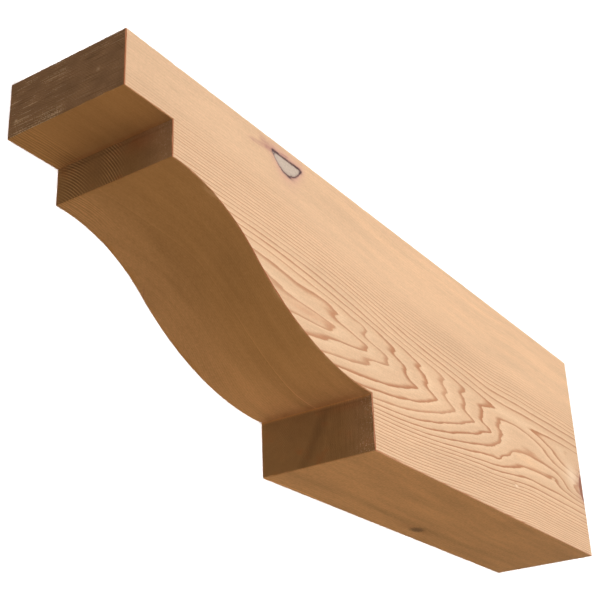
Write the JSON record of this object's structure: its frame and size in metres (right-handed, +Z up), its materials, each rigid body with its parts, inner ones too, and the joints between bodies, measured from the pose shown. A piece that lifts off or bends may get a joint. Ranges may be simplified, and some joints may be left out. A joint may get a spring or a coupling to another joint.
{
  "type": "carved rafter tail",
  "caption": "Decorative rafter tail: a square fir timber whose underside is cut with a small step and an ogee at the eaves end, and left square at the back.",
  "frame": {"origin": "on the floor under the middle of the timber's box: half its length from the tip, half its depth from the top face, on the side face that it lies on", "axes": "+X along the timber, from the carved tip to the square cut at the back; +Y across its depth, from the underside to the face that is the top in use; +Z up through its width, from the side face it lies on to the one that shows"},
  "size_m": [0.6096, 0.181, 0.0889],
  "materials": {
    "planed_fir": "planed, sanded and bare, with knots and growth rings showing"
  },
  "bodies": {
    "root": {"rafter_tail": "planed_fir"}
  },
  "joints": []
}
